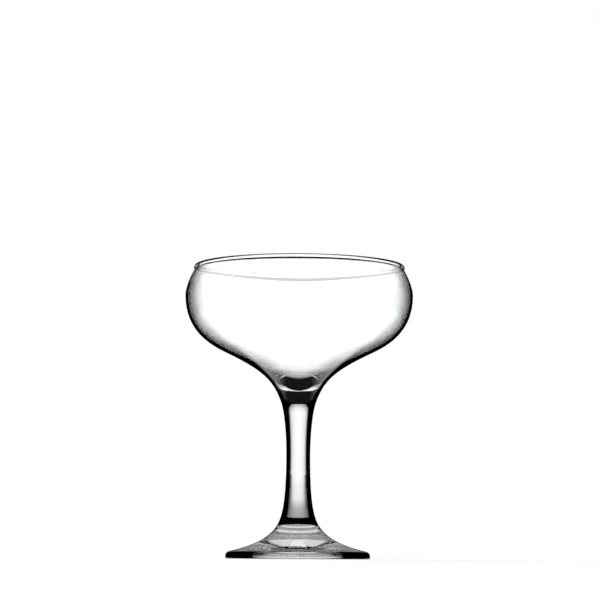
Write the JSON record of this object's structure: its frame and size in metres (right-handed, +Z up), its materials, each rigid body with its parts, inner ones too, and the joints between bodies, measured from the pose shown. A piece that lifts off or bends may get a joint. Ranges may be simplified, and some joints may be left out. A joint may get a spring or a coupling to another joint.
{
  "type": "coupe glass",
  "caption": "Stemmed drinking glass in plain clear glass: a wide shallow bowl whose rim draws in to a rounded bead, a solid waisted stem and a round foot that is hollowed underneath.",
  "frame": {"origin": "centre of the foot, on the plane that the glass stands on", "axes": "+Z up along the axis of the glass; the glass is a solid of revolution, so +X and +Y are alike, and +Y points away from the picture's camera"},
  "size_m": [0.1016, 0.1016, 0.1305],
  "materials": {
    "clear_glass": "fire-polished, clear"
  },
  "bodies": {
    "root": {"bowl": "clear_glass", "stem": "clear_glass", "foot": "clear_glass"}
  },
  "joints": []
}
